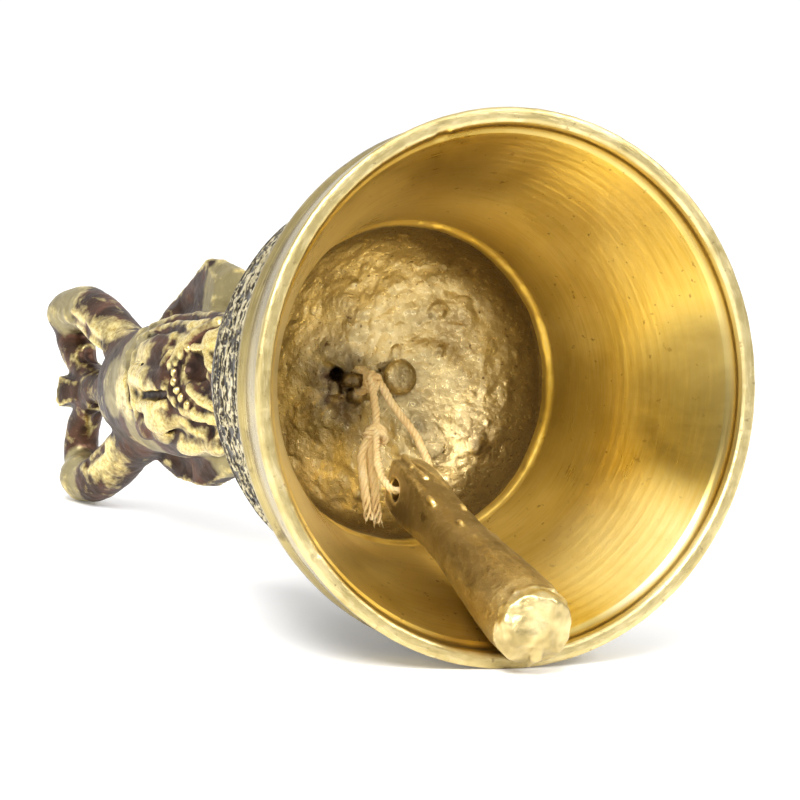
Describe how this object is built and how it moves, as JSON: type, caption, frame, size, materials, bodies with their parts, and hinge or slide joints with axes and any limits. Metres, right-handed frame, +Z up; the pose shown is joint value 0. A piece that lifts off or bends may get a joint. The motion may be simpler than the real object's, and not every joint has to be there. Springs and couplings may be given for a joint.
{
  "type": "hand bell",
  "caption": "Cast hand bell lying on its side, with a flared turned cup, a figured horned handle and a club clapper hung inside on twine.",
  "frame": {"origin": "middle of the footprint of the bell lying on its side, on the surface that it rests on", "axes": "+Z up; +Y along the bell from its mouth towards the end of its handle; the open mouth faces -Y; +X to the right when looking along +Y into the mouth"},
  "size_m": [0.07, 0.1672, 0.0697],
  "materials": {
    "turned_brass": "turned and brushed, with rubbed marks",
    "cast_brass": "rough as cast",
    "patina_brass": "dark patina, rubbed bright on the high points",
    "dull_brass": "dull and scratched",
    "twine": "cotton twine, slightly waxed and frayed"
  },
  "bodies": {
    "bell": {"bell_cup": "turned_brass", "handle_stem": "patina_brass", "handle_trunk": "patina_brass", "handle_collar": "patina_brass", "horn_upper": "patina_brass", "horn_lower": "patina_brass", "crest_knob": "patina_brass", "wing_upper": "patina_brass", "wing_lower": "patina_brass", "twine_eye": "cast_brass", "casting_boss": "cast_brass", "twine_hitch": "twine"},
    "knot": {"twine_knot": "twine"},
    "twine": {"twine_strands": "twine", "twine_tails": "twine"},
    "clapper": {"clapper": "dull_brass"}
  },
  "joints": [
    {"name": "twine_turn", "type": "hinge", "parent": "bell", "child": "knot", "pos_m": [0, -0.03185, 0.031], "axis": [0, 0.9954, -0.0954], "range_deg": [-90, 90]},
    {"name": "twine_swing", "type": "hinge", "parent": "knot", "child": "twine", "pos_m": [0, -0.03185, 0.031], "axis": [1, 0, 0], "range_deg": [-50, 0]},
    {"name": "clapper_tilt", "type": "hinge", "parent": "twine", "child": "clapper", "pos_m": [0, -0.04523, 0.01821], "axis": [1, 0, 0], "range_deg": [-15, 0]}
  ]
}
